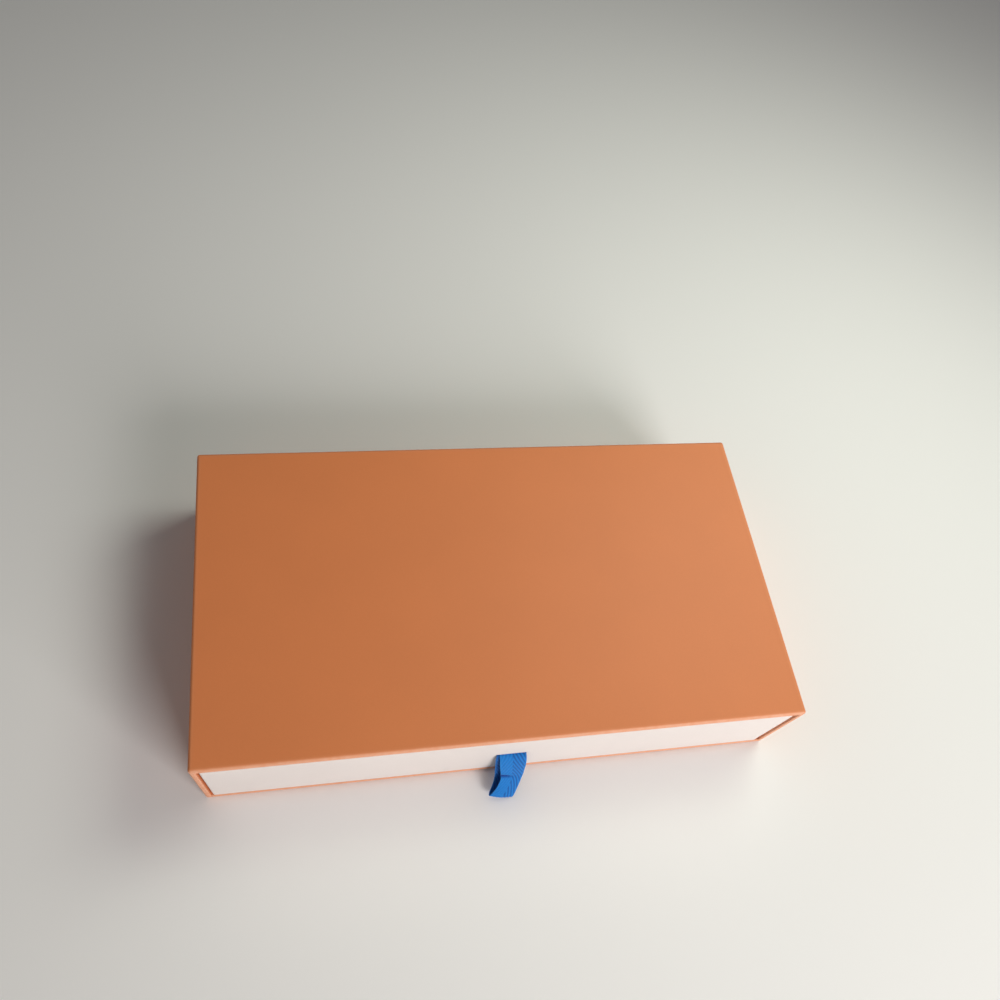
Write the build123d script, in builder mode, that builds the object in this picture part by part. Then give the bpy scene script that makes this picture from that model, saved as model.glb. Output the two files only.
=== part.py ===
from build123d import *
import os
from math import atan, cos, degrees, pi, radians, sin, tan

# A slim gift box that opens as a drawer. A sleeve of greyboard panels, covered in orange paper and
# open at the front, holds a shallow drawer of the same board, covered in off-white paper. A doubled
# loop of tape comes out of a slit in the drawer's front and pulls it.
#
# Millimetres. The origin is the centre of the sleeve's underside, +Z is up, and the mouth faces -Y.

os.makedirs("parts", exist_ok=True)

# Sleeve
sleeve_width = 240.0
sleeve_depth = 134.0
sleeve_height = 44.0
board = 1.8  # greyboard, in all panels of the sleeve and the drawer
paper = 0.2  # covering paper, orange outside and off-white on the drawer
stay_tape = 0.15  # gummed paper tape over the board joints
lining = 0.15  # lining paper
sleeve_edge_radius = 1.2  # covered outer edges of the sleeve
mouth_turn_in = 15.0  # orange paper folded into the mouth
turn_under = 14.0  # covering paper folded round onto the base or the back
sheet_margin = 0.8  # from the start of a rounded edge to the edge of a pasted sheet
stay_leg = 12.0  # half the width of a stay tape, on each board that it joins
stay_setback = 3.0  # from the mouth, or a rim, to the end of a stay tape
stay_gap = 1.0  # between neighbouring stay tapes
lining_setback = 3.0  # from the mouth to the sleeve's lining

# Drawer
side_gap = 1.2  # mean clearance on each side
drawer_shift = -0.5  # how far the drawer lies off centre in the sleeve
top_gap = 0.7
bottom_gap = 0.2
back_gap = 0.8
recess = 0.1  # of the drawer's front behind the mouth
drawer_edge_radius = 1.0  # covered outer edges of the drawer
rim_turn_in = 11.0  # off-white paper folded over the rim
floor_card = 0.4  # card that lines the floor
lining_drop = 2.5  # from the rim to the wall lining

# Pull
tape_width = 11.0  # woven tape
tape = 0.5  # its thickness
strand_skew = 1.0  # how far the upper strand lies to the right of the lower one
slit_x = 0.0  # centre of the slit
slit_rise = 20.7  # of the slit above the drawer's underside
slit_play = 0.3  # clearance round the doubled tape
tail_up = 5.0  # tape ends behind the front board
tail_down = 11.0
neck_out = 0.2  # how far the fixed ends stand out of the slit
fold_gap = 1.0  # from the ends to the rim's turned-in paper, which is cut away round a longer end
patch = 0.15  # paper patch over the ends
patch_border = 4.0  # of the patch round the ends
hinge_out = 1.0  # from the drawer's front to the line that the loop flops about
root_gap = 0.2  # between the two strands at the slit
strand_gap = 3.4  # between the two strands from the crease on
bend_reach = 1.1  # of the middle of the bend out of the slit, forward of the flop line
bend_drop = 0.6  # of the same place, below the slit
shoulder_reach = 2.1  # of the end of that bend
shoulder_drop = 3.4
crease_reach = 3.3
crease_drop = 16.1
end_reach = 9.1  # of the middle of the loop's fold
end_turn = 45.0  # degrees that the tape runs below level at the fold
end_lean = 27.0  # degrees that the tape runs to the left at the fold
end_tilt = 18.0  # degrees that the fold falls to the right
lean_power = 3  # how late the lean comes: it grows as this power of the drop
floor_gap = 0.3  # from the loop's lowest corner to the table


def inset(space, left=0.0, right=0.0, front=0.0, back=0.0, bottom=0.0, top=0.0):
    """A space, given as its range along each axis, with each face moved in."""
    return {
        "x": (space["x"][0] + left, space["x"][1] - right),
        "y": (space["y"][0] + front, space["y"][1] - back),
        "z": (space["z"][0] + bottom, space["z"][1] - top),
    }


def block(space, mode=Mode.ADD):
    """A box that fills a space, in the part being built."""
    ranges = (space["x"], space["y"], space["z"])
    centre = tuple((low + high) / 2 for low, high in ranges)
    with Locations(centre):
        Box(*(high - low for low, high in ranges), mode=mode)


# Spaces of the sleeve, from the outside in. The pasted base and back sheets are the outermost.
skin = paper + stay_tape
sleeve = {
    "x": (-sleeve_width / 2, sleeve_width / 2),
    "y": (-sleeve_depth / 2, sleeve_depth / 2),
    "z": (0.0, sleeve_height),
}
wrapped = inset(sleeve, back=paper, bottom=paper)
core = inset(wrapped, paper, paper, paper, paper, paper, paper)
panels = inset(core, stay_tape, stay_tape, 0, stay_tape, stay_tape, stay_tape)
room = inset(panels, board, board, 0, board, board, board)
mouth = inset(room, paper, paper, 0, 0, paper, paper)
lined = inset(mouth, lining, lining, 0, lining, lining, lining)

# The block that the sleeve's paper closes round, and the block that its boards are cut from
with BuildPart() as sleeve_core:
    block(core)
    fillet(sleeve_core.edges(), sleeve_edge_radius - paper)

with BuildPart() as sleeve_panels:
    block(panels)
    fillet(sleeve_panels.edges(), sleeve_edge_radius - skin)

# Sleeve boards: the top and base run the full width, the sides stand between them, and the back
# board closes the tube from inside.
with BuildPart() as sleeve_top_board:
    block({**panels, "z": (room["z"][1], panels["z"][1])})
    add(sleeve_panels.part, mode=Mode.INTERSECT)
sleeve_top_board.part.label = "sleeve_top_board"
export_step(sleeve_top_board.part, "parts/sleeve_top_board.step")

with BuildPart() as sleeve_base_board:
    block({**panels, "z": (panels["z"][0], room["z"][0])})
    add(sleeve_panels.part, mode=Mode.INTERSECT)
sleeve_base_board.part.label = "sleeve_base_board"
export_step(sleeve_base_board.part, "parts/sleeve_base_board.step")

with BuildPart() as sleeve_left_board:
    block({**panels, "x": (panels["x"][0], room["x"][0]), "z": room["z"]})
    add(sleeve_panels.part, mode=Mode.INTERSECT)
sleeve_left_board.part.label = "sleeve_left_board"
export_step(sleeve_left_board.part, "parts/sleeve_left_board.step")

with BuildPart() as sleeve_right_board:
    block({**panels, "x": (room["x"][1], panels["x"][1]), "z": room["z"]})
    add(sleeve_panels.part, mode=Mode.INTERSECT)
sleeve_right_board.part.label = "sleeve_right_board"
export_step(sleeve_right_board.part, "parts/sleeve_right_board.step")

with BuildPart() as sleeve_back_board:
    block({**room, "y": (room["y"][1], panels["y"][1])})
sleeve_back_board.part.label = "sleeve_back_board"
export_step(sleeve_back_board.part, "parts/sleeve_back_board.step")

# Stay tapes: bent strips between the boards and the paper, over the four long joints and the four
# joints of the back board.
side_legs = [(core["x"][0], core["x"][0] + stay_leg), (core["x"][1] - stay_leg, core["x"][1])]
level_legs = [(core["z"][0], core["z"][0] + stay_leg), (core["z"][1] - stay_leg, core["z"][1])]
back_leg = (core["y"][1] - stay_leg, core["y"][1])
long_run = (core["y"][0] + stay_setback, back_leg[0] - stay_gap)
across = (side_legs[0][1] + stay_gap, side_legs[1][0] - stay_gap)
upright = (level_legs[0][1] + stay_gap, level_legs[1][0] - stay_gap)

with BuildPart() as sleeve_stay_places:
    for leg in level_legs:
        for side in side_legs:
            block({"x": side, "y": long_run, "z": leg})
        block({"x": across, "y": back_leg, "z": leg})
    for side in side_legs:
        block({"x": side, "y": back_leg, "z": upright})

with BuildPart() as sleeve_corner_stays:
    add(sleeve_core.part)
    add(sleeve_panels.part, mode=Mode.SUBTRACT)
    add(sleeve_stay_places.part, mode=Mode.INTERSECT)
sleeve_corner_stays.part.label = "sleeve_corner_stays"
export_step(sleeve_corner_stays.part, "parts/sleeve_corner_stays.step")

# The orange paper goes round the boards, folds into the mouth, and folds onto the base and back.
turned_in = {**room, "y": (wrapped["y"][0], wrapped["y"][0] + mouth_turn_in)}
under_window = {
    "x": (wrapped["x"][0] + turn_under, wrapped["x"][1] - turn_under),
    "y": (wrapped["y"][0] + turn_under, wrapped["y"][1] - turn_under),
    "z": (sleeve["z"][0], core["z"][0]),
}
back_window = {
    "x": under_window["x"],
    "y": (core["y"][1], sleeve["y"][1]),
    "z": (wrapped["z"][0] + turn_under, wrapped["z"][1] - turn_under),
}

with BuildPart() as sleeve_wrap:
    block(wrapped)
    fillet(sleeve_wrap.edges(), sleeve_edge_radius)
    add(sleeve_core.part, mode=Mode.SUBTRACT)
    block(turned_in)
    block({**mouth, "y": turned_in["y"]}, mode=Mode.SUBTRACT)
    block(under_window, mode=Mode.SUBTRACT)
    block(back_window, mode=Mode.SUBTRACT)
sleeve_wrap.part.label = "sleeve_wrap"
export_step(sleeve_wrap.part, "parts/sleeve_wrap.step")

# Flat sheets pasted over the folded edges, under the box and on its back
sheet_inset = sleeve_edge_radius + sheet_margin

with BuildPart() as sleeve_base_sheet:
    block({
        "x": (sleeve["x"][0] + sheet_inset, sleeve["x"][1] - sheet_inset),
        "y": (sleeve["y"][0] + sheet_inset, wrapped["y"][1] - sheet_inset),
        "z": (sleeve["z"][0], wrapped["z"][0]),
    })
sleeve_base_sheet.part.label = "sleeve_base_sheet"
export_step(sleeve_base_sheet.part, "parts/sleeve_base_sheet.step")

with BuildPart() as sleeve_back_sheet:
    block({
        "x": (sleeve["x"][0] + sheet_inset, sleeve["x"][1] - sheet_inset),
        "y": (wrapped["y"][1], sleeve["y"][1]),
        "z": (wrapped["z"][0] + sheet_inset, sleeve["z"][1] - sheet_inset),
    })
sleeve_back_sheet.part.label = "sleeve_back_sheet"
export_step(sleeve_back_sheet.part, "parts/sleeve_back_sheet.step")

# The lining covers the boards inside, over the edge of the paper folded into the mouth.
lining_front = sleeve["y"][0] + lining_setback

with BuildPart() as sleeve_lining:
    block({**mouth, "y": (lining_front, mouth["y"][1])})
    block({**lined, "y": (lining_front, lined["y"][1])}, mode=Mode.SUBTRACT)
sleeve_lining.part.label = "sleeve_lining"
export_step(sleeve_lining.part, "parts/sleeve_lining.step")

# Spaces of the drawer, from the outside in. It fills the lined sleeve, less its clearances.
drawer = inset(
    {**lined, "y": (sleeve["y"][0] + recess, lined["y"][1] - back_gap)},
    left=side_gap + drawer_shift,
    right=side_gap - drawer_shift,
    bottom=bottom_gap,
    top=top_gap,
)
tray_wrapped = inset(drawer, bottom=paper)
tray_core = inset(tray_wrapped, paper, paper, paper, paper, paper, paper)
tray_panels = inset(tray_core, stay_tape, stay_tape, stay_tape, stay_tape, stay_tape, 0)
tray_room = inset(tray_panels, board, board, board, board, board, 0)
rim_mouth = inset(tray_room, paper, paper, paper, paper, 0, 0)
tray_lined = inset(rim_mouth, lining, lining, lining, lining, floor_card, 0)

with BuildPart() as tray_core_block:
    block(tray_core)
    fillet(tray_core_block.edges(), drawer_edge_radius - paper)

with BuildPart() as tray_panel_block:
    block(tray_panels)
    fillet(tray_panel_block.edges(), drawer_edge_radius - skin)

# The slit goes through the covering paper and the front board.
slit_z = drawer["z"][0] + slit_rise
slit_half = (tape_width + strand_skew) / 2 + slit_play
slit = {
    "x": (slit_x - slit_half, slit_x + slit_half),
    "y": (drawer["y"][0] - paper, tray_room["y"][0]),
    "z": (slit_z - tape - slit_play / 2, slit_z + tape + slit_play / 2),
}

# The tape's two ends pass through the slit, the upper one to the right of the lower, and are
# spread up and down behind the front board.
behind = tray_room["y"][0]
strand_x = {
    way: (slit_x + way * strand_skew / 2 - tape_width / 2, slit_x + way * strand_skew / 2 + tape_width / 2)
    for way in (1, -1)
}
tails = {
    "x": (strand_x[-1][0], strand_x[1][1]),
    "y": (behind, behind + tape),
    "z": (slit_z - tail_down, slit_z + tail_up),
}

# Drawer boards: the base runs under the walls, and the side walls stand between front and back.
wall_z = (tray_room["z"][0], tray_panels["z"][1])

with BuildPart() as drawer_base_board:
    block({**tray_panels, "z": (tray_panels["z"][0], tray_room["z"][0])})
    add(tray_panel_block.part, mode=Mode.INTERSECT)
drawer_base_board.part.label = "drawer_base_board"
export_step(drawer_base_board.part, "parts/drawer_base_board.step")

with BuildPart() as drawer_front_board:
    block({**tray_panels, "y": (tray_panels["y"][0], tray_room["y"][0]), "z": wall_z})
    add(tray_panel_block.part, mode=Mode.INTERSECT)
    block(slit, mode=Mode.SUBTRACT)
drawer_front_board.part.label = "drawer_front_board"
export_step(drawer_front_board.part, "parts/drawer_front_board.step")

with BuildPart() as drawer_back_board:
    block({**tray_panels, "y": (tray_room["y"][1], tray_panels["y"][1]), "z": wall_z})
    add(tray_panel_block.part, mode=Mode.INTERSECT)
drawer_back_board.part.label = "drawer_back_board"
export_step(drawer_back_board.part, "parts/drawer_back_board.step")

with BuildPart() as drawer_left_board:
    block({"x": (tray_panels["x"][0], tray_room["x"][0]), "y": tray_room["y"], "z": wall_z})
    add(tray_panel_block.part, mode=Mode.INTERSECT)
drawer_left_board.part.label = "drawer_left_board"
export_step(drawer_left_board.part, "parts/drawer_left_board.step")

with BuildPart() as drawer_right_board:
    block({"x": (tray_room["x"][1], tray_panels["x"][1]), "y": tray_room["y"], "z": wall_z})
    add(tray_panel_block.part, mode=Mode.INTERSECT)
drawer_right_board.part.label = "drawer_right_board"
export_step(drawer_right_board.part, "parts/drawer_right_board.step")

# Stay tapes on the drawer's four upright corners
with BuildPart() as drawer_stay_places:
    for x_end, x_way in zip(tray_core["x"], (1, -1)):
        for y_end, y_way in zip(tray_core["y"], (1, -1)):
            block({
                "x": tuple(sorted((x_end, x_end + x_way * stay_leg))),
                "y": tuple(sorted((y_end, y_end + y_way * stay_leg))),
                "z": (tray_room["z"][0], tray_core["z"][1] - stay_setback),
            })

with BuildPart() as drawer_corner_stays:
    add(tray_core_block.part)
    add(tray_panel_block.part, mode=Mode.SUBTRACT)
    add(drawer_stay_places.part, mode=Mode.INTERSECT)
drawer_corner_stays.part.label = "drawer_corner_stays"
export_step(drawer_corner_stays.part, "parts/drawer_corner_stays.step")

# The off-white paper goes round the walls, over the rim and down inside, and under the base.
rim_fold = {**tray_room, "z": (tray_wrapped["z"][1] - rim_turn_in, tray_wrapped["z"][1])}
tray_window = {
    "x": (tray_wrapped["x"][0] + turn_under, tray_wrapped["x"][1] - turn_under),
    "y": (tray_wrapped["y"][0] + turn_under, tray_wrapped["y"][1] - turn_under),
    "z": (drawer["z"][0], tray_core["z"][0]),
}

with BuildPart() as drawer_wrap:
    block(tray_wrapped)
    fillet(drawer_wrap.edges(), drawer_edge_radius)
    add(tray_core_block.part, mode=Mode.SUBTRACT)
    block(rim_fold)
    block({**rim_mouth, "z": rim_fold["z"]}, mode=Mode.SUBTRACT)
    block(inset(tails, -fold_gap, -fold_gap, 0, 0, -fold_gap, -fold_gap), mode=Mode.SUBTRACT)
    block(tray_window, mode=Mode.SUBTRACT)
    block(slit, mode=Mode.SUBTRACT)
drawer_wrap.part.label = "drawer_wrap"
export_step(drawer_wrap.part, "parts/drawer_wrap.step")

tray_sheet_inset = drawer_edge_radius + sheet_margin

with BuildPart() as drawer_base_sheet:
    block({
        "x": (drawer["x"][0] + tray_sheet_inset, drawer["x"][1] - tray_sheet_inset),
        "y": (drawer["y"][0] + tray_sheet_inset, drawer["y"][1] - tray_sheet_inset),
        "z": (drawer["z"][0], tray_wrapped["z"][0]),
    })
drawer_base_sheet.part.label = "drawer_base_sheet"
export_step(drawer_base_sheet.part, "parts/drawer_base_sheet.step")

# The tape's two ends, with the two strands that fill the slit
tail_spaces = [
    {**tails, "x": strand_x[1], "z": (slit_z, tails["z"][1])},
    {**tails, "x": strand_x[-1], "z": (tails["z"][0], slit_z)},
]

with BuildPart() as ribbon_tails:
    for tail in tail_spaces:
        block(tail)
    neck_y = (drawer["y"][0] - neck_out, behind)
    block({"x": strand_x[1], "y": neck_y, "z": (slit_z, slit_z + tape)})
    block({"x": strand_x[-1], "y": neck_y, "z": (slit_z - tape, slit_z)})
ribbon_tails.part.label = "ribbon_tails"
export_step(ribbon_tails.part, "parts/ribbon_tails.step")

# A paper patch is pressed down over the ends, and stands up round them.
wall_foot = tray_room["z"][0] + floor_card
patch_rise = inset(tails, -patch, -patch, 0, -patch, -patch, -patch)
patch_flat = {
    "x": (tails["x"][0] - patch_border, tails["x"][1] + patch_border),
    "y": (behind, behind + patch),
    "z": (max(tails["z"][0] - patch_border, wall_foot), min(tails["z"][1] + patch_border, rim_fold["z"][0])),
}

with BuildPart() as ribbon_patch:
    block(patch_flat)
    block(patch_rise)
    for tail in tail_spaces:
        block(tail, mode=Mode.SUBTRACT)
ribbon_patch.part.label = "ribbon_patch"
export_step(ribbon_patch.part, "parts/ribbon_patch.step")

# Lining of the walls, which shows the patch as a low swelling, and the card on the floor
lined_walls = (wall_foot, tray_core["z"][1] - lining_drop)

with BuildPart() as drawer_wall_lining:
    block({**rim_mouth, "z": lined_walls})
    block({**tray_lined, "z": lined_walls}, mode=Mode.SUBTRACT)
    block(inset(patch_rise, -lining, -lining, paper, -lining, -lining, -lining))
    block(patch_rise, mode=Mode.SUBTRACT)
drawer_wall_lining.part.label = "drawer_wall_lining"
export_step(drawer_wall_lining.part, "parts/drawer_wall_lining.step")

with BuildPart() as drawer_floor_card:
    block({**tray_room, "z": (tray_room["z"][0], wall_foot)})
drawer_floor_card.part.label = "drawer_floor_card"
export_step(drawer_floor_card.part, "parts/drawer_floor_card.step")

# The loop. Its middle line runs forward and down from the slit through a shoulder and a crease to
# the fold. The two strands lie on each side of it, and part as they go. Towards the fold the tape
# runs off to the left and its right edge falls.
flop_y = drawer["y"][0] - hinge_out


def tape_directions(share, turn):
    """Along the tape, across it and square to it, where a share of its drop is behind it and it
    runs turn degrees below level."""
    slope = radians(turn)
    sideways = tan(radians(end_lean)) * share**lean_power * sin(slope)
    along = Vector(-sideways, -cos(slope), -sin(slope)).normalized()
    fall = radians(end_tilt * share)
    level = Vector(cos(fall), 0, -sin(fall))
    across = (level - along * level.dot(along)).normalized()
    return along, across, along.cross(across)


lowest_corner = -tape_directions(1, end_turn)[1].Z * tape_width / 2
end_drop = slit_z - floor_gap - lowest_corner - strand_gap / 2 - tape

middle_line = [  # reach, drop and gap between the strands
    (0.0, 0.0, root_gap),
    (bend_reach, bend_drop, root_gap),
    (shoulder_reach, shoulder_drop, (root_gap + strand_gap) / 2),
    ((shoulder_reach + crease_reach) / 2, (shoulder_drop + crease_drop) / 2, strand_gap),
    (crease_reach, crease_drop, strand_gap),
    ((crease_reach + end_reach) / 2, (crease_drop + end_drop) / 2, strand_gap),
    (end_reach, end_drop, strand_gap),
]


def line_turn(index):
    """Degrees below level of the middle line at one of its points."""
    if index == 0:
        return 0.0
    if index == len(middle_line) - 1:
        return end_turn
    before, after = middle_line[index - 1], middle_line[index + 1]
    return 90.0 - degrees(atan((after[0] - before[0]) / (after[1] - before[1])))


def strand_section(index, swing):
    """The plane of the tape's section at a point of the middle line. It swings round that point from
    the upper strand, at 0, to the lower strand, at half a turn."""
    reach, drop, gap = middle_line[index]
    share = drop / end_drop
    along, across, outward = tape_directions(share, line_turn(index))
    spoke = outward * cos(swing) + along * sin(swing)
    heading = along * cos(swing) - outward * sin(swing)
    drift = tan(radians(end_lean)) * end_drop * share ** (lean_power + 1) / (lean_power + 1)
    middle = Vector(slit_x + strand_skew / 2 * cos(swing) - drift, flop_y - reach, slit_z - drop)
    return Plane(origin=middle + spoke * ((gap + tape) / 2), x_dir=across, z_dir=heading)


last = len(middle_line) - 1
sections = [strand_section(index, 0) for index in range(last + 1)]
sections += [strand_section(last, turn) for turn in (pi / 4, pi / 2, 3 * pi / 4)]
sections += [strand_section(index, pi) for index in reversed(range(last + 1))]

with BuildPart() as pull_loop:
    for section in sections:
        with BuildSketch(section):
            Rectangle(tape_width, tape)
    loft(ruled=True)
pull_loop.part.label = "pull_loop"
export_step(pull_loop.part, "parts/pull_loop.step")

loop_length = sum((b.origin - a.origin).length for a, b in zip(sections, sections[1:]))
loop_box = pull_loop.part.bounding_box()
print(f"loop: {loop_length:.1f} mm of tape, volume {pull_loop.part.volume:.0f} mm3, "
      f"section times length {loop_length * tape_width * tape:.0f} mm3, "
      f"from z {loop_box.min.Z:.2f} to {loop_box.max.Z:.2f}, as far forward as y {loop_box.min.Y:.2f}")
print(f"drawer outside {drawer}")
print(f"drawer inside {tray_lined}")
print(f"flop line at y {flop_y:.2f}, z {slit_z:.2f}")
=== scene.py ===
import math
from functools import cached_property

import bpy
import numpy as np
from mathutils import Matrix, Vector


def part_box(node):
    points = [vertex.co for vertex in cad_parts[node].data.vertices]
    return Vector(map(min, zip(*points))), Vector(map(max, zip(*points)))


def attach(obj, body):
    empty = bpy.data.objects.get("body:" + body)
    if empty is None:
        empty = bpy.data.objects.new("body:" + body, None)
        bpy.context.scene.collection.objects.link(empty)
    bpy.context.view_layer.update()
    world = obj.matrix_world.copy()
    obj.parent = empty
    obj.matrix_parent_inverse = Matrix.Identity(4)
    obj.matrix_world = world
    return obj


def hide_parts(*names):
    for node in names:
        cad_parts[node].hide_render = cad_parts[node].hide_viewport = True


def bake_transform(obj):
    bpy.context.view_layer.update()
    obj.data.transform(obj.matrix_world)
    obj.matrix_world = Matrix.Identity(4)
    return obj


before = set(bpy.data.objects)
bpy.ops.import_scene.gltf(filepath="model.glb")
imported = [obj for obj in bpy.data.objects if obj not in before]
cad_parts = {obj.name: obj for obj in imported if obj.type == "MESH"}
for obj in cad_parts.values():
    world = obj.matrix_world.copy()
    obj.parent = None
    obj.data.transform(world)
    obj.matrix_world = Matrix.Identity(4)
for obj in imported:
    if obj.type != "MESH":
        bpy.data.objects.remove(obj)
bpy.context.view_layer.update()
mm = 0.001


# ---- The camera ----
# It stands over the box's front left and looks steeply down, where the photograph was taken from.
# The lens and the place come from the perspective of the box's edges.
photo_width = 1000
focal_length_px = 822.53
optical_centre_px = (493.57, 552.16)
camera_place = (-68.51 * mm, -140.17 * mm, 347.14 * mm)
camera_turns = (27.7708, -8.9045, -7.7828)  # degrees about X, then Y, then Z

camera_data = bpy.data.cameras.new("camera")
camera_data.lens = focal_length_px * camera_data.sensor_width / photo_width
camera_data.shift_x = 0.5 - optical_centre_px[0] / photo_width
camera_data.shift_y = optical_centre_px[1] / photo_width - 0.5
camera = bpy.data.objects.new("camera", camera_data)
camera.location = camera_place
camera.rotation_euler = [math.radians(turn) for turn in camera_turns]
bpy.context.scene.collection.objects.link(camera)
bpy.context.scene.camera = camera


# ---- The room ----
# A plain pale table top and three soft lamps: a strong one in front, which lights the mouth of the
# box, one behind on the right that lends the top its sheen, and a faint one on the left. The lamps'
# lengths are in metres and their powers in watts.
def soft_lamp(name, place, target, size, power, colour):
    """A square lamp at a place, facing a target point."""
    data = bpy.data.lights.new(name, "AREA")
    data.size = size
    data.energy = power
    data.color = colour
    lamp = bpy.data.objects.new(name, data)
    lamp.location = place
    way = np.array(target, float) - np.array(place, float)
    level = math.hypot(way[0], way[1])
    lamp.rotation_euler = (math.atan2(level, -way[2]), 0, math.atan2(way[1], way[0]) - math.pi / 2)
    bpy.context.scene.collection.objects.link(lamp)


soft_lamp("front_lamp", place=(0.40, -0.80, 0.45), target=(0.0, -0.05, 0.02),
          size=0.5, power=7.3, colour=(1.0, 0.95, 0.92))
soft_lamp("right_lamp", place=(0.30, 0.15, 0.45), target=(0.05, 0.0, 0.04),
          size=0.28, power=1.25, colour=(0.96, 1.0, 0.86))
soft_lamp("left_lamp", place=(-0.60, -0.20, 0.50), target=(-0.06, -0.05, 0.03),
          size=0.5, power=0.3, colour=(1.0, 0.85, 0.80))

world = bpy.data.worlds.new("room")
world.use_nodes = True
room_light = world.node_tree.nodes["Background"].inputs
room_light["Color"].default_value = (1.0, 0.99, 0.98, 1)
room_light["Strength"].default_value = 0.1
bpy.context.scene.world = world
bpy.context.scene.view_settings.view_transform = "Standard"


class Paint:
    """A material in the making. An input of its nodes takes a number, a colour or another output."""

    def __init__(self, name, colour, roughness):
        self.material = bpy.data.materials.new(name)
        self.material.use_nodes = True
        self.nodes = self.material.node_tree.nodes
        self.links = self.material.node_tree.links
        self.surface = self.nodes["Principled BSDF"].inputs
        self.feed(self.surface["Base Color"], colour)
        self.feed(self.surface["Roughness"], roughness)

    @cached_property
    def place(self):
        """The object's own coordinates."""
        return self.nodes.new("ShaderNodeTexCoord").outputs["Object"]

    def feed(self, socket, value):
        """Links an input to an output, or sets it to a number or to a colour."""
        if isinstance(value, bpy.types.NodeSocket):
            self.links.new(value, socket)
        else:
            socket.default_value = (*value, 1) if isinstance(value, tuple) else value

    def values(self, name):
        """The values that a mesh's points hold under a name."""
        node = self.nodes.new("ShaderNodeAttribute")
        node.attribute_name = name
        return node.outputs["Fac"]

    def noise(self, scale, detail=2.0, distortion=0.0):
        """A cloudy noise over the object's own coordinates."""
        node = self.nodes.new("ShaderNodeTexNoise")
        self.feed(node.inputs["Vector"], self.place)
        self.feed(node.inputs["Scale"], scale)
        self.feed(node.inputs["Detail"], detail)
        self.feed(node.inputs["Distortion"], distortion)
        return node.outputs["Fac"]

    def calculate(self, operation, *inputs):
        """The result of a sum, product or other operation."""
        node = self.nodes.new("ShaderNodeMath")
        node.operation = operation
        for socket, value in zip(node.inputs, inputs):
            self.feed(socket, value)
        return node.outputs[0]

    def mix(self, share, first, second, way="MIX"):
        """Two colours, mixed with a share of the second one."""
        node = self.nodes.new("ShaderNodeMix")
        node.data_type = "RGBA"
        node.blend_type = way
        self.feed(node.inputs["Factor"], share)
        self.feed(node.inputs["A"], first)
        self.feed(node.inputs["B"], second)
        return node.outputs["Result"]

    def bump(self, height, strength, distance):
        """Gives the surface a fine relief, as deep as distance."""
        node = self.nodes.new("ShaderNodeBump")
        self.feed(node.inputs["Height"], height)
        self.feed(node.inputs["Strength"], strength)
        self.feed(node.inputs["Distance"], distance)
        self.feed(self.surface["Normal"], node.outputs["Normal"])


floor_half = 3.0
floor_corners = [(-floor_half, -floor_half), (floor_half, -floor_half),
                 (floor_half, floor_half), (-floor_half, floor_half)]
floor_mesh = bpy.data.meshes.new("floor")
floor_mesh.from_pydata([(x, y, 0) for x, y in floor_corners], [], [(0, 1, 2, 3)])
floor_mesh.materials.append(Paint("floor", (0.93, 0.93, 0.93), roughness=0.9).material)
floor = bpy.data.objects.new("floor", floor_mesh)
bpy.context.scene.collection.objects.link(floor)


# ---- The sleeve's covering ----
# One sheet of orange paper with a fine pressed rib, glued round the greyboard tube. At the mouth it
# turns over the board's edge and runs 15 mm down the inside. At the back it folds over and ends
# under the pasted back sheet.
paper = 0.2 * mm
sleeve_radius = 1.2 * mm  # of the covered outer edges
mouth_radius = 0.5 * mm  # of the paper at the inner edge of the mouth
mouth_wall = 2.35 * mm  # board, stay tape and paper, at the mouth
mouth_turn_in = 15 * mm
back_fold = 14 * mm
orange = (0.78, 0.245, 0.083)
# Pale orange of rubbed wear, which on the sleeve's mouth also serves as a painted highlight.
orange_worn_and_highlit = (0.86, 0.50, 0.34)
outer_edge_wear = 0.12  # share of the wear on the mouth's narrow edge
mouth_wear_and_highlight_depth = 0.3 * mm  # of the full wear and painted highlight, behind the mouth
mouth_wear_and_highlight_fade = 0.5 * mm  # over which it fades behind that
rib_pitch = 0.42 * mm
wave_turn = 20  # radians that the wave texture turns in a metre, at a scale of 1

corner_steps = 8  # spaces between the points round a quarter turn in a rounded rectangle
least_radius = 0.12 * mm  # of the corners of a rounded rectangle, however far it is drawn in
edge_reach = 0.4 * mm  # of the wear, from an edge


class Strip:
    """A list of points along a line that is put together from straight runs and round bends, each with
    its distance from the nearest bend."""

    def __init__(self):
        self.points = []
        self.bend = []

    def add(self, point, bend):
        """A single point."""
        self.points.append(np.array(point, float))
        self.bend.append(bend)

    def run(self, start, end, near=0.25 * mm, far=14 * mm, growth=1.7):
        """Points on a straight run, close together at its ends and wide apart in its middle."""
        start, end = np.array(start, float), np.array(end, float)
        length = np.linalg.norm(end - start)
        steps, step = [], near
        while sum(steps) + step < length / 2:
            steps.append(step)
            step = min(step * growth, far)
        half = np.append(np.cumsum(steps), length / 2) if steps else np.array([length / 2])
        places = np.concatenate([half[:-1], [length / 2], length - half[:-1][::-1]])
        for place in places:
            self.add(start + (end - start) * place / length, min(place, length - place))

    def arc(self, centre, radius, start_degrees, end_degrees, steps=6):
        """Points on a round bend, ends included."""
        for turn in np.radians(np.linspace(start_degrees, end_degrees, steps + 1)):
            self.add(np.array(centre, float) + radius * np.array([math.cos(turn), math.sin(turn)]), 0.0)

    def arrays(self):
        """The points and their distances from a bend, as arrays."""
        return np.array(self.points), np.array(self.bend)


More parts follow.
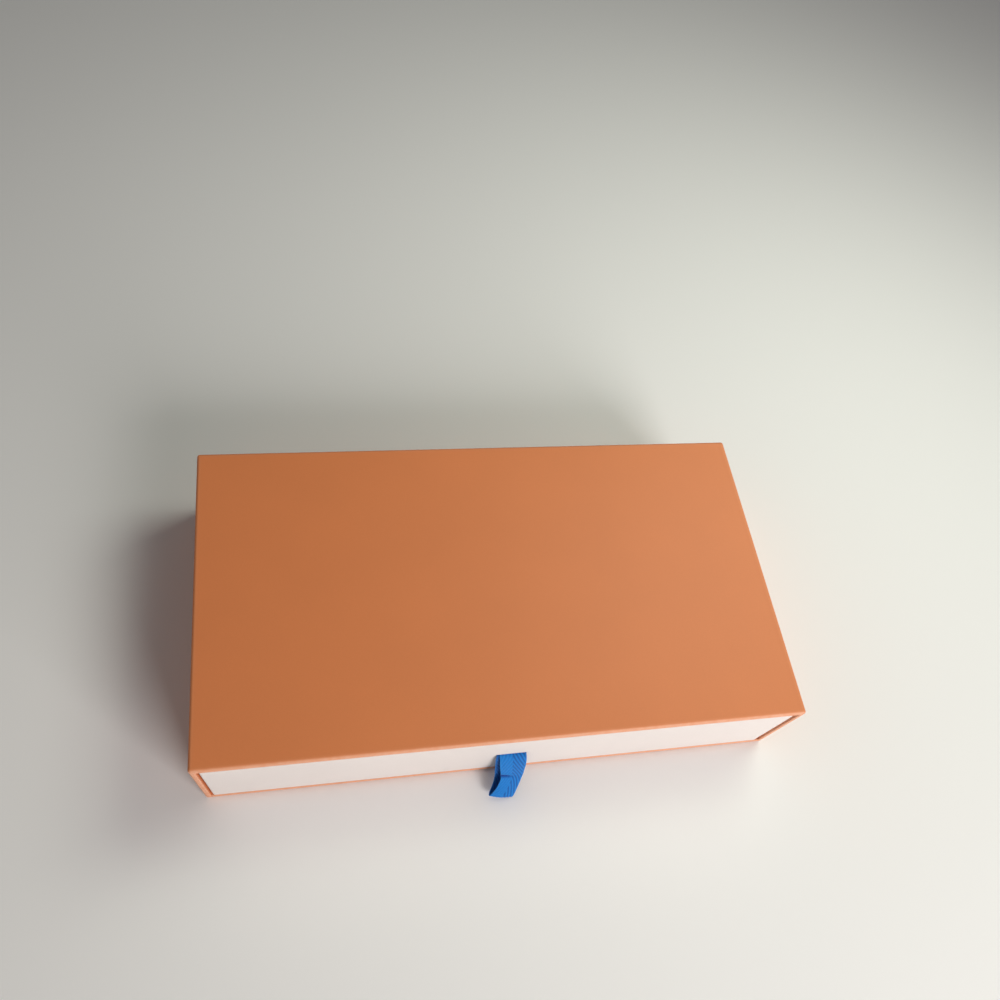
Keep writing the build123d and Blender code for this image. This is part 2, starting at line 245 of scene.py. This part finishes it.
def frame_stations(width, height, radius, extra=()):
    """Places round a rounded rectangle. Each has its corner, the way it faces in quarter turns, how
    far along the side after that corner it lies, and its distance from the nearest corner. extra
    lists, for a side, more distances from its middle at which a place is needed."""
    stations = []
    for corner in range(4):
        side = (width if corner % 2 == 0 else height) - 2 * radius
        stations += [(corner, corner + turn, 0.0, 0.0) for turn in np.linspace(0, 1, corner_steps + 1)]
        strip = Strip()
        strip.run((0, 0), (side, 0))
        places = {round(point[0], 7) for point in strip.points}
        places |= {side / 2 + place for number, place in extra if number == corner}
        stations += [(corner, corner + 1, place / side, min(place, side - place)) for place in sorted(places)]
    return [np.array(column) for column in zip(*stations)]


def round_frame(stations, width, height, radius, inset):
    """Points of a rounded rectangle that is drawn in by inset all round. A point is its corner's
    centre, moved towards the next corner's by its share of the side, plus the corner's radius
    along the way that the point faces. Rows are insets, columns are stations."""
    corner, facing, along, _ = stations
    sign_x, sign_y = np.array([1, -1, -1, 1]), np.array([1, 1, -1, -1])
    inset = np.asarray(inset, float)[:, None]
    radius = np.maximum(radius - inset, least_radius)
    centre_x = sign_x[corner] * (1 - along) + sign_x[(corner + 1) % 4] * along
    centre_y = sign_y[corner] * (1 - along) + sign_y[(corner + 1) % 4] * along
    angle = facing * math.pi / 2
    x = centre_x * (width / 2 - inset - radius) + radius * np.cos(angle)
    y = centre_y * (height / 2 - inset - radius) + radius * np.sin(angle)
    return x, y


def paper_skin(line, thickness):
    """A line as a closed strip of paper: the line itself, then back along the same line, set off by
    the paper's thickness to the right of its travel, or to the left where thickness is negative."""
    along = np.gradient(line, axis=0)
    along /= np.linalg.norm(along, axis=1)[:, None]
    behind = line + thickness * np.stack([along[:, 1], -along[:, 0]], axis=1)
    return np.concatenate([line, behind[::-1]])


def ring_faces(rows, columns, keep=None):
    """Quads of a grid that closes on itself both ways. keep is a mask of the quads that stay."""
    row, column = np.meshgrid(np.arange(rows), np.arange(columns), indexing="ij")
    next_row, next_column = (row + 1) % rows, (column + 1) % columns
    quads = np.stack([row * columns + column, next_row * columns + column,
                      next_row * columns + next_column, row * columns + next_column], axis=-1)
    return quads[keep] if keep is not None else quads.reshape(-1, 4)


def make_piece(name, points, quads, attributes):
    """A smooth mesh object from points and quads, with named values on its points."""
    mesh = bpy.data.meshes.new(name)
    mesh.from_pydata(points.reshape(-1, 3), [], quads.tolist())
    mesh.shade_smooth()
    for key, values in attributes.items():
        attribute = mesh.attributes.new(key, "FLOAT", "POINT")
        attribute.data.foreach_set("value", np.ravel(values).astype(np.float32))
    piece = bpy.data.objects.new(name, mesh)
    bpy.context.scene.collection.objects.link(piece)
    return piece


def ribbed_paper(name, colour, worn_and_highlit, rib_axis, edge_wear_and_highlight):
    """Covering paper: a fine pressed rib across one axis, a felt grain, a faint cloudiness of the
    dye, and a paler tone where it bends over an edge, which is rubbed wear and, on the sleeve's mouth,
    also a painted highlight."""
    paint = Paint(name, colour, roughness=0.54)
    cloud = paint.noise(scale=28.0, detail=3.0)
    fleck = paint.noise(scale=2400.0)
    tone = paint.calculate("MULTIPLY_ADD", cloud, 0.09, 0.0)
    tone = paint.calculate("MULTIPLY_ADD", fleck, 0.07, tone)
    tone = paint.calculate("ADD", tone, 0.92)
    dye = paint.mix(1.0, colour, tone, "MULTIPLY")

    # The paler tone: rubbed wear, and on the sleeve's mouth also a painted highlight.
    if edge_wear_and_highlight:
        rub = paint.noise(scale=420.0, detail=4.0)
        wear_and_highlight_share = paint.calculate("MULTIPLY_ADD", rub, 0.9, 0.25)
        wear_and_highlight_share = paint.calculate("MULTIPLY", wear_and_highlight_share, paint.values("edge"))
        wear_and_highlight_share = paint.calculate("MULTIPLY", wear_and_highlight_share, edge_wear_and_highlight)
        dye = paint.mix(wear_and_highlight_share, dye, worn_and_highlit)
    paint.feed(paint.surface["Base Color"], dye)

    rib = paint.nodes.new("ShaderNodeTexWave")
    rib.bands_direction = rib_axis
    paint.feed(rib.inputs["Vector"], paint.place)
    paint.feed(rib.inputs["Scale"], 2 * math.pi / (wave_turn * rib_pitch))
    paint.feed(rib.inputs["Distortion"], 0.8)
    paint.feed(rib.inputs["Detail"], 1.0)
    paint.feed(rib.inputs["Detail Scale"], 0.15)
    relief = paint.calculate("MULTIPLY_ADD", fleck, 0.8, rib.outputs["Fac"])
    paint.bump(relief, strength=0.6, distance=0.02 * mm)
    return paint.material


def edge_wear_at(bend):
    """How far a surface is rubbed, from its distance to the nearest bend: 1 on it, and fading."""
    return np.exp(-(bend / edge_reach) ** 1.5)


wrap_low, wrap_high = (np.array(corner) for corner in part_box("sleeve_wrap"))
wrap_width, _, wrap_height = wrap_high - wrap_low
front_y, back_y = wrap_low[1], wrap_high[1]
wrap_middle = (wrap_low + wrap_high) / 2

cover_line = Strip()  # inset from the outer faces, and place along Y
cover_line.run((mouth_wall, front_y + mouth_turn_in), (mouth_wall, front_y + mouth_radius))
cover_line.arc((mouth_wall - mouth_radius, front_y + mouth_radius), mouth_radius, 0, -90)
cover_line.run((mouth_wall - mouth_radius, front_y), (sleeve_radius, front_y), near=0.15 * mm)
cover_line.arc((sleeve_radius, front_y + sleeve_radius), sleeve_radius, -90, -180)
cover_line.run((0, front_y + sleeve_radius), (0, back_y - sleeve_radius))
cover_line.arc((sleeve_radius, back_y - sleeve_radius), sleeve_radius, 180, 90)
cover_line.run((sleeve_radius, back_y), (back_fold, back_y))
cover_points, cover_bend = cover_line.arrays()
cover_strip = paper_skin(cover_points, paper)

cover_stations = frame_stations(wrap_width, wrap_height, sleeve_radius)
cover_x, cover_z = round_frame(cover_stations, wrap_width, wrap_height, sleeve_radius, cover_strip[:, 0])
cover_y = np.broadcast_to(cover_strip[:, 1][:, None], cover_x.shape)
cover_mesh = np.stack([cover_x + wrap_middle[0], cover_y, cover_z + wrap_middle[2]], axis=-1)

# The paper is painted pale on the mouth's narrow edge, as rubbed wear and as a painted highlight where
# the front light falls on it; it is rubbed only a little on the outer corners.
strip_wear = edge_wear_at(np.concatenate([cover_bend, cover_bend[::-1]]))
outer_wear = np.maximum(outer_edge_wear * strip_wear[:, None],
                        outer_edge_wear * edge_wear_at(cover_stations[3])[None, :])
behind_mouth = np.maximum(cover_strip[:, 1] - front_y - mouth_wear_and_highlight_depth, 0)
mouth_wear_and_highlight = np.exp(-((behind_mouth / mouth_wear_and_highlight_fade) ** 2))
cover_wear_and_highlight = np.maximum(outer_wear, mouth_wear_and_highlight[:, None])
sleeve_cover = make_piece("sleeve_cover", cover_mesh, ring_faces(*cover_x.shape), {"edge": cover_wear_and_highlight})
sleeve_cover.data.materials.append(ribbed_paper("orange_paper", orange, orange_worn_and_highlit, "Y", 0.8))
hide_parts("sleeve_wrap")
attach(sleeve_cover, "sleeve")


# ---- The sleeve's pasted sheets ----
# Two flat sheets of the same orange paper, glued over the folded edges: one is the underside that
# the box rests on, the other covers the back.
def dress(node_names, material):
    """Gives CAD nodes a material."""
    for node_name in node_names:
        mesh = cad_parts[node_name].data
        mesh.materials.clear()
        mesh.materials.append(material)


dress(["sleeve_base_sheet"], ribbed_paper("orange_base_sheet", orange, orange_worn_and_highlit, "Y", 0))
dress(["sleeve_back_sheet"], ribbed_paper("orange_back_sheet", orange, orange_worn_and_highlit, "Z", 0))


# ---- The boards ----
# Greyboard cut to panels, pressed from waste paper: grey-brown, with pale and dark fibres. The
# papers cover it everywhere.
def greyboard():
    """Greyboard: a mottled grey with short fibres, rough all over."""
    paint = Paint("greyboard", (0.27, 0.24, 0.20), roughness=0.95)
    fibre = paint.noise(scale=900.0, detail=6.0, distortion=1.5)
    ramp = paint.nodes.new("ShaderNodeValToRGB")
    dark, pale = ramp.color_ramp.elements
    dark.position, dark.color = 0.35, (0.17, 0.15, 0.125, 1)
    pale.position, pale.color = 0.68, (0.36, 0.32, 0.27, 1)
    paint.feed(ramp.inputs["Fac"], fibre)
    paint.feed(paint.surface["Base Color"], ramp.outputs["Color"])
    paint.bump(fibre, strength=0.5, distance=0.05 * mm)
    return paint.material


dress([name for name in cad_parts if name.endswith("_board")], greyboard())


# ---- The stay tapes ----
# Strips of brown gummed paper over the joints between the boards, and the patch that holds the
# ends of the pull. All of them lie under the covering or the lining.
def plain_paper(name, colour, roughness):
    """Uncoated paper: a felt grain and a faint cloudiness."""
    cloudiness = 0.08
    paint = Paint(name, colour, roughness)
    grain = paint.noise(scale=1500.0, detail=5.0)
    cloud = paint.noise(scale=40.0)
    tone = paint.calculate("MULTIPLY_ADD", cloud, cloudiness, 1 - cloudiness)
    tone = paint.calculate("MULTIPLY_ADD", grain, 0.06, tone)
    paint.feed(paint.surface["Base Color"], paint.mix(1.0, colour, tone, "MULTIPLY"))
    paint.bump(grain, strength=0.35, distance=0.02 * mm)
    return paint.material


dress(["sleeve_corner_stays", "drawer_corner_stays", "ribbon_patch"],
      plain_paper("stay_paper", (0.42, 0.30, 0.17), roughness=0.7))


# ---- The linings ----
# Smooth off-white paper: on the sleeve's inner faces, on the drawer's inner walls, and over the
# card that covers the drawer's floor.
dress(["sleeve_lining", "drawer_wall_lining", "drawer_floor_card"],
      plain_paper("lining_paper", (0.79, 0.76, 0.71), roughness=0.75))


# ---- The drawer's covering ----
# One sheet of off-white ribbed paper round the drawer's four walls. It turns over the rim and
# 11 mm down inside, folds under the base, and has a slit at the front for the pull.
drawer_radius = 1.0 * mm
rim_radius = 0.5 * mm
drawer_wall = 2.35 * mm
rim_turn_in = 11 * mm
under_fold = 14 * mm
off_white = (0.82, 0.76, 0.735)
off_white_worn = (0.86, 0.83, 0.80)

slit_x = (-6.3 * mm, 6.3 * mm)
slit_z = (22.95 * mm, 24.25 * mm)
slit_rows_mm = (0.0, 0.15, 0.4, 0.8, 1.3, 2.0)  # from the slit to the rows of points over and under it
slit_columns_mm = (0.0, 0.2, 0.6, 1.4)  # from its ends to the columns of points beside it
slit_inner_columns_mm = np.arange(-5.4, 5.5, 0.9)  # from x = 0 to the columns of points in it
front_side = 2  # the number of the front in a rounded rectangle seen from above
unbent = 1.0  # a distance from a bend that is too great to matter

tray_low, tray_high = (np.array(corner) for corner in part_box("drawer_wrap"))
tray_width, tray_depth, _ = tray_high - tray_low
tray_middle = (tray_low + tray_high) / 2
rim_z, foot_z = tray_high[2], tray_low[2]
rows_over_slit = [slit_z[1] + row * mm for row in reversed(slit_rows_mm)]
rows_under_slit = [slit_z[0] - row * mm for row in slit_rows_mm]

tray_line = Strip()  # inset from the outer faces, and height
tray_line.run((drawer_wall, rim_z - rim_turn_in), (drawer_wall, rim_z - rim_radius))
tray_line.arc((drawer_wall - rim_radius, rim_z - rim_radius), rim_radius, 0, 90)
tray_line.run((drawer_wall - rim_radius, rim_z), (drawer_radius, rim_z), near=0.15 * mm)
tray_line.arc((drawer_radius, rim_z - drawer_radius), drawer_radius, 90, 180)
tray_line.run((0, rim_z - drawer_radius), (0, rows_over_slit[0]))
for row_z in rows_over_slit + rows_under_slit:
    tray_line.add((0, row_z), unbent)
tray_line.run((0, rows_under_slit[-1]), (0, foot_z + drawer_radius))
tray_line.arc((drawer_radius, foot_z + drawer_radius), drawer_radius, 180, 270)
tray_line.run((drawer_radius, foot_z), (under_fold, foot_z))
tray_points, tray_bend = tray_line.arrays()
tray_strip = paper_skin(tray_points, -paper)

slit_places = [(front_side, x - tray_middle[0] + way * column * mm)
               for x, way in ((slit_x[0], -1), (slit_x[1], 1)) for column in slit_columns_mm]
slit_places += [(front_side, column * mm - tray_middle[0]) for column in slit_inner_columns_mm]
tray_stations = frame_stations(tray_width, tray_depth, drawer_radius, slit_places)
tray_x, tray_y = round_frame(tray_stations, tray_width, tray_depth, drawer_radius, tray_strip[:, 0])
tray_x = tray_x + tray_middle[0]
tray_y = tray_y + tray_middle[1]
tray_z = np.broadcast_to(tray_strip[:, 1][:, None], tray_x.shape)

# The quads of the front's paper whose middles lie in the slit are left out, on both of its faces.
rows, columns = tray_x.shape
on_front = (tray_stations[0] == front_side) & (tray_stations[3] > 0)
on_outside = np.abs(tray_strip[:, 0]) < 2 * paper
quad_z = (tray_strip[:, 1] + np.roll(tray_strip[:, 1], -1)) / 2
quad_x = (tray_x + np.roll(tray_x, -1, axis=1)) / 2
slit_row = on_outside & np.roll(on_outside, -1) & (quad_z > slit_z[0]) & (quad_z < slit_z[1])
slit_column = on_front & np.roll(on_front, -1)
in_slit = slit_row[:, None] & slit_column[None, :] & (quad_x > slit_x[0]) & (quad_x < slit_x[1])
tray_quads = ring_faces(rows, columns, ~in_slit)

# A ring of quads round the slit joins the two faces: over it from left to right, under it back.
hole_rows = np.flatnonzero(in_slit.any(axis=1))
hole_columns = np.flatnonzero(in_slit.any(axis=0))
outer_top, inner_bottom = hole_rows[0], hole_rows[-1]
outer_bottom, inner_top = outer_top + 1, inner_bottom + 1
rightward = np.arange(hole_columns[0], hole_columns[-1] + 2)
leftward = rightward[::-1]
outer_ring = np.concatenate([outer_top * columns + rightward, outer_bottom * columns + leftward])
inner_ring = np.concatenate([inner_top * columns + rightward, inner_bottom * columns + leftward])
cut_edge = np.stack([outer_ring, inner_ring, np.roll(inner_ring, -1), np.roll(outer_ring, -1)], axis=-1)
tray_quads = np.concatenate([tray_quads, cut_edge])

tray_wear = np.maximum(
    edge_wear_at(np.concatenate([tray_bend, tray_bend[::-1]]))[:, None],
    edge_wear_at(tray_stations[3])[None, :],
)
tray_mesh = np.stack([tray_x, tray_y, tray_z], axis=-1)
drawer_cover = make_piece("drawer_cover", tray_mesh, tray_quads, {"edge": tray_wear})
drawer_cover.data.materials.append(ribbed_paper("white_paper", off_white, off_white_worn, "Z", 0.25))
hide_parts("drawer_wrap")
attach(drawer_cover, "drawer")
dress(["drawer_base_sheet"], ribbed_paper("white_base_sheet", off_white, off_white, "Y", 0))


# ---- The pull ----
# A length of blue herringbone tape, 11 mm wide, doubled into a loop. Its two ends go through the
# slit and are glued up and down behind the front board. The loop droops to the table, has a crease
# in its upper strand, and lies open towards its left side.
tape_width_mm = 11
tape_width = tape_width_mm * mm
tape = 0.5 * mm
front_face = tray_low[1]
stretch_steps = (46, 350, 80)  # spaces along the upper end, the loop and the lower end
tape_columns = 45
line_points = 8000  # of a smooth line, before it is divided evenly
tape_blue = (0.008, 0.225, 0.700)
# The dark blue of the painted shade, mixed in where the tape lies in shade.
tape_shadow = (0.003, 0.055, 0.310)

rib_across = 1.5 * mm  # spacing of the ribs across the tape
rib_slope = 2.0  # how far a rib runs along the tape for each step across it
rib_height = 0.15 * mm
rib_fullness = 0.7  # power of the ribs' wave; under 1, they are fuller than it
selvedge_width = 0.5 * mm
selvedge_height = 0.8  # share of the ribs' height
spine_width = 0.18 * mm  # of the fine groove down the tape's middle
spine_depth = 0.5  # share of the ribs' height
left_painted_shade, right_painted_shade = 0.35, 0.85  # painted shade of the grooves; it is fainter on the left half, where the light falls differently on the ribs
inner_painted_shade, inner_groove_painted_shade = 0.55, 0.45  # painted shade of the loop's inner face, which lies in deep shade, and of its grooves
yarn_shade = -0.10  # of a single yarn's crown, which is paler
warp_pitch_mm = 0.27  # of the yarns that run along the tape
weft_pitch_mm = 0.34

crease_depth = 0.7 * mm
crease_start = 0.275  # share of the loop, at the left edge
crease_slant = 0.03  # share of the loop that the crease lies further along at the right edge
crease_width = 0.019  # share of the loop
crease_reach = 0.5  # share of the tape's width, from the left edge
# Painted shade along the crease: the tape's colour is darkened there by this share.
crease_painted_shade = 1.2

# Places along the left and the right edge of the tape, in millimetres. Where an edge is seen, they
# are set so that it falls on the tape's outline in the photograph; the rest is a guess. Each edge
# starts at the upper end behind the board, goes out through the slit, round the loop and back
# through the slit, and ends at the lower end behind the board.
strand_skew = 0.5  # of the upper end to the right, and of the lower end to the left
upper_end = [(-64.5, 28.6), (-64.5, 26.4), (-64.5, 24.7), (-64.58, 24.08), (-65.1, 23.87), (-66.9, 23.85)]
lower_end = [(-66.9, 23.35), (-65.1, 23.33), (-64.58, 23.12), (-64.5, 22.5), (-64.5, 18.0), (-64.5, 12.7)]
left_loop = [
    (-4.95, -67.7, 23.6), (-4.8, -68.7, 22.6), (-4.65, -69.6, 20.8), (-4.1, -70.9, 16.8),
    (-3.3, -72.15, 12.5), (-3.05, -73.35, 10.3), (-3.9, -75.2, 7.95), (-5.0, -76.7, 6.0),
    (-6.4, -77.9, 4.5), (-7.3, -78.4, 3.5), (-7.5, -78.05, 2.75), (-7.2, -77.1, 2.6),
    (-6.3, -75.5, 2.95), (-5.4, -73.7, 4.3), (-4.95, -71.6, 7.1), (-5.2, -70.1, 11.0),
    (-5.75, -69.1, 16.0), (-6.15, -68.4, 20.3), (-6.2, -67.85, 22.3), (-6.1, -67.35, 23.15),
]
right_loop = [
    (6.0, -67.7, 23.75), (6.05, -68.7, 23.1), (6.15, -69.6, 21.4), (6.3, -70.5, 18.6),
    (6.4, -71.2, 15.0), (6.5, -71.8, 11.8), (6.45, -72.4, 8.9), (6.1, -73.3, 6.5),
    (5.6, -74.4, 5.2), (4.6, -76.2, 3.5), (3.55, -78.0, 2.0), (2.75, -79.05, 1.15),
    (2.35, -79.25, 0.75), (2.3, -78.8, 0.55), (2.7, -77.6, 0.6), (3.7, -75.4, 1.1),
    (4.8, -73.4, 2.7), (5.5, -71.8, 6.2), (5.6, -70.4, 11.0), (5.2, -69.2, 16.5),
    (5.0, -68.35, 20.6), (5.0, -67.75, 22.5), (5.0, -67.35, 23.15),
]

# How far the tape bows out between its edges: shares of the loop, and millimetres.
bows = [(0, 0), (0.1, 0.1), (0.2, 0.25), (0.3, 0.2), (0.4, 0.6), (0.46, 0.7), (0.5, 0.5), (0.54, 0.2),
        (0.6, 0), (0.75, 0.2), (0.9, 0.1), (1, 0)]


def smooth_line(knots):
    """A smooth line through knots, as many close points. Between two knots it is the cubic whose
    slope at a knot runs from the knot before to the knot after."""
    knots = np.asarray(knots, float) * mm
    at = np.concatenate([[0], np.cumsum(np.linalg.norm(np.diff(knots, axis=0), axis=1) ** 0.5)])
    slope = np.gradient(knots, at, axis=0)
    fine = np.linspace(0, at[-1], line_points)
    k = np.clip(np.searchsorted(at, fine, side="right") - 1, 0, len(at) - 2)
    h = (at[k + 1] - at[k])[:, None]
    t = (fine[:, None] - at[k][:, None]) / h
    return ((2 * t**3 - 3 * t**2 + 1) * knots[k] + (t**3 - 2 * t**2 + t) * h * slope[k]
            + (3 * t**2 - 2 * t**3) * knots[k + 1] + (t**3 - t**2) * h * slope[k + 1])


def tape_edge(out, loop):
    """An edge of the tape, as three stretches of evenly spaced points: to the slit, round the loop
    back to the slit, and on to the end. out is how far to the right of the tape's middle it lies.
    With the points come their distances along the edge."""
    upper = [(out + strand_skew, y, z) for y, z in upper_end]
    lower = [(out - strand_skew, y, z) for y, z in lower_end]
    line = smooth_line(upper + loop + lower)
    length = np.concatenate([[0], np.cumsum(np.linalg.norm(np.diff(line, axis=0), axis=1))])
    outside = np.flatnonzero(line[:, 1] < front_face)
    ends = [0, length[outside[0]], length[outside[-1]], length[-1]]
    stretches = zip(ends, ends[1:], stretch_steps)
    wanted = [np.linspace(start, end, steps, endpoint=False) for start, end, steps in stretches]
    wanted = np.concatenate([*wanted, ends[-1:]])
    return np.stack([np.interp(wanted, length, line[:, c]) for c in range(3)], axis=1), wanted


def surface_normals(surface):
    """Unit normals of a grid surface, from its slopes along and across."""
    along, across = np.gradient(surface, axis=0), np.gradient(surface, axis=1)
    normal = np.cross(along, across)
    return normal / np.linalg.norm(normal, axis=-1, keepdims=True)


left_edge, left_run = tape_edge(-tape_width_mm / 2, left_loop)
right_edge, right_run = tape_edge(tape_width_mm / 2, right_loop)
run_along = ((left_run + right_run) / 2)[:, None]
tape_length, tape_steps = run_along[-1, 0], len(run_along)
loop_share = np.clip((np.arange(tape_steps) - stretch_steps[0]) / stretch_steps[1], 0, 1)[:, None]
bow_share, bow_mm = np.array(bows).T
bow = np.interp(loop_share, bow_share, bow_mm * mm)

# A point of the tape's middle surface is its share of the way from the left edge to the right, with
# the shares closer together towards the edges. The bow is a parabola across the tape, and the crease
# a slanting groove that fades towards the right.
bunched = (1 - np.cos(np.linspace(0, math.pi, tape_columns))) / 2
share = 0.5 * bunched + 0.5 * np.linspace(0, 1, tape_columns)
middle = left_edge[:, None] * (1 - share)[None, :, None] + right_edge[:, None] * share[None, :, None]
crease_line = crease_start + crease_slant * share[None, :]
crease = np.exp(-(((loop_share - crease_line) / crease_width) ** 2)) * np.exp(-((share / crease_reach) ** 4))
middle = middle + surface_normals(middle) * (bow * 4 * share * (1 - share) - crease_depth * crease)[..., None]
normal = surface_normals(middle)

# The herringbone's ribs run slantwise from the middle of the tape to a plain woven edge on each side.
# On the loop's inner face they lie half a rib's spacing off.
run_across = (share - 0.5)[None, :] * tape_width
wave = (np.abs(run_across) - run_along / rib_slope) / rib_across
rib_face = 0.5 + 0.5 * np.cos(2 * math.pi * wave)
rib_back = 0.5 + 0.5 * np.cos(2 * math.pi * (wave + 0.5))
selvedge = np.exp(-(((np.abs(run_across) - tape_width / 2) / selvedge_width) ** 2))
spine = np.exp(-((run_across / spine_width) ** 2))


def woven_height(rib):
    """Height of the woven relief, from that of its ribs as shares."""
    ribs = rib**rib_fullness * (1 - selvedge)
    return rib_height * (ribs + selvedge_height * selvedge - spine_depth * spine)


face = middle + normal * (tape / 2 - rib_height + woven_height(rib_face))[..., None]
back = middle - normal * (tape / 2 - rib_height + woven_height(rib_back))[..., None]
ring = np.concatenate([face, back[:, ::-1]], axis=1)

# The quads go round the tape from each row to the next, and both ends are closed.
ring_columns = ring.shape[1]
all_but_last = np.ones(ring.shape[:2], bool)
all_but_last[-1] = False
column = np.arange(tape_columns - 1)
first_end = np.stack([column, column + 1, ring_columns - 2 - column, ring_columns - 1 - column], axis=-1)
last_end = first_end[:, ::-1] + (tape_steps - 1) * ring_columns
tape_quads = np.concatenate([ring_faces(tape_steps, ring_columns, all_but_last), first_end, last_end])

# Painted shade: the colour darkens in the grooves between the ribs, more on the right half than the left,
# along the crease, and over all the loop's inner face.
groove_painted_shade = np.where(run_across < 0, left_painted_shade, right_painted_shade)
face_painted_shade = np.maximum(groove_painted_shade * (1 - selvedge) * (1 - rib_face), crease_painted_shade * crease)
back_painted_shade = inner_painted_shade + inner_groove_painted_shade * (1 - selvedge) * (1 - rib_back)
ring_across = np.concatenate([run_across, run_across[:, ::-1]], axis=1)
tape_values = {
    "across": np.broadcast_to(ring_across, ring.shape[:2]) / mm,
    "along": np.broadcast_to(run_along, ring.shape[:2]) / mm,
    "painted_shade": np.concatenate([face_painted_shade, back_painted_shade[:, ::-1]], axis=1),
}
pull = make_piece("pull_tape", ring, tape_quads, tape_values)


def woven_tape():
    """Dyed cotton tape: bright on the ribs of the twill, with painted shade that darkens its colour in
    the grooves between them, along the crease and on the loop's inner face. The single yarns make a
    fine cross grain, and their fuzz a soft sheen."""
    paint = Paint("blue_tape", tape_blue, roughness=0.72)
    paint.feed(paint.surface["Sheen Weight"], 0.25)
    paint.feed(paint.surface["Sheen Roughness"], 0.4)
    paint.feed(paint.surface["Sheen Tint"], (0.45, 0.65, 1.0))
    paint.feed(paint.surface["Specular IOR Level"], 0.3)
    warp = paint.calculate("MULTIPLY", paint.values("across"), 2 * math.pi / warp_pitch_mm)
    weft = paint.calculate("MULTIPLY", paint.values("along"), 2 * math.pi / weft_pitch_mm)
    warp, weft = (paint.calculate("SINE", yarns) for yarns in (warp, weft))
    yarn = paint.calculate("MULTIPLY_ADD", weft, warp, 1.0)
    shade = paint.calculate("MULTIPLY_ADD", yarn, yarn_shade, paint.values("painted_shade"))
    shade = paint.calculate("MAXIMUM", shade, 0.0)
    paint.feed(paint.surface["Base Color"], paint.mix(shade, tape_blue, tape_shadow))
    paint.bump(yarn, strength=0.5, distance=0.04 * mm)
    return paint.material


pull.data.materials.append(woven_tape())
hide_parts("pull_loop", "ribbon_tails")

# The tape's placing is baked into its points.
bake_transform(pull)
